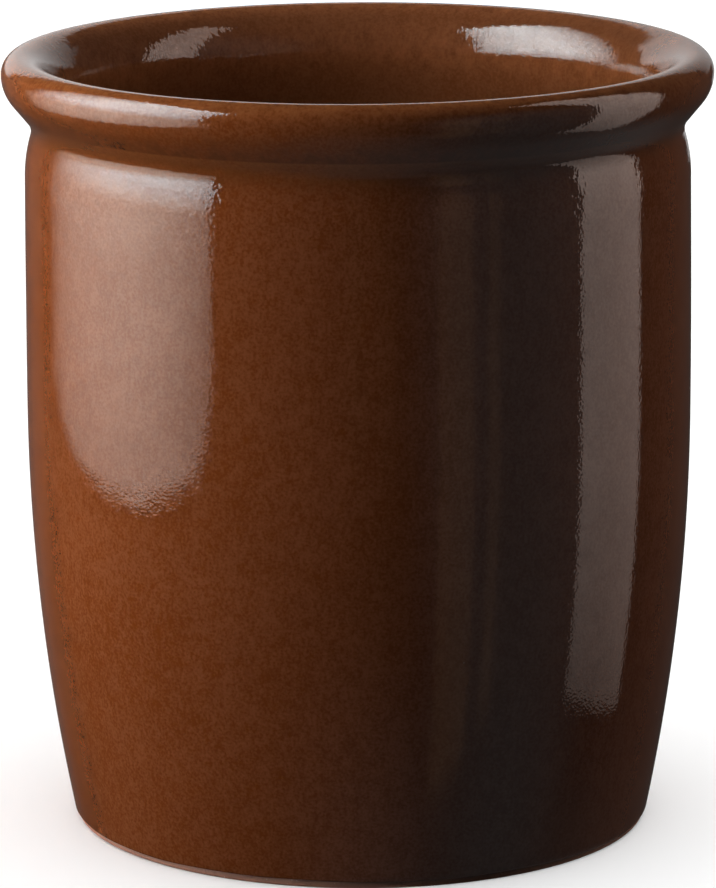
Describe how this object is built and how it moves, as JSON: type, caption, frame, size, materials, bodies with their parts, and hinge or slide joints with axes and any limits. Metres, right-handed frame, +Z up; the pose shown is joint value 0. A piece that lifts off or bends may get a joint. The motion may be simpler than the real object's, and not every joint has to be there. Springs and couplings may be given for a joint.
{
  "type": "preserving crock",
  "caption": "Open stoneware crock with a rolled rim, a slightly barrelled wall tapering to a bare foot, glazed brown inside and out, for preserving and storing food.",
  "frame": {"origin": "middle of the standing foot ring, on the table", "axes": "+Z up along the axis the pot was turned on; the pot is round, and -Y is taken as the front"},
  "size_m": [0.1248, 0.1248, 0.1374],
  "materials": {
    "bare_stoneware": "unglazed fired clay, matt and slightly gritty",
    "outer_brown_glaze": "glossy mottled brown glaze with a fine orange-peel surface",
    "liner_brown_glaze": "glossy mottled brown glaze with a fine orange-peel surface"
  },
  "bodies": {
    "root": {"stoneware_body": "bare_stoneware", "outer_glaze": "outer_brown_glaze", "liner_glaze": "liner_brown_glaze"}
  },
  "joints": []
}
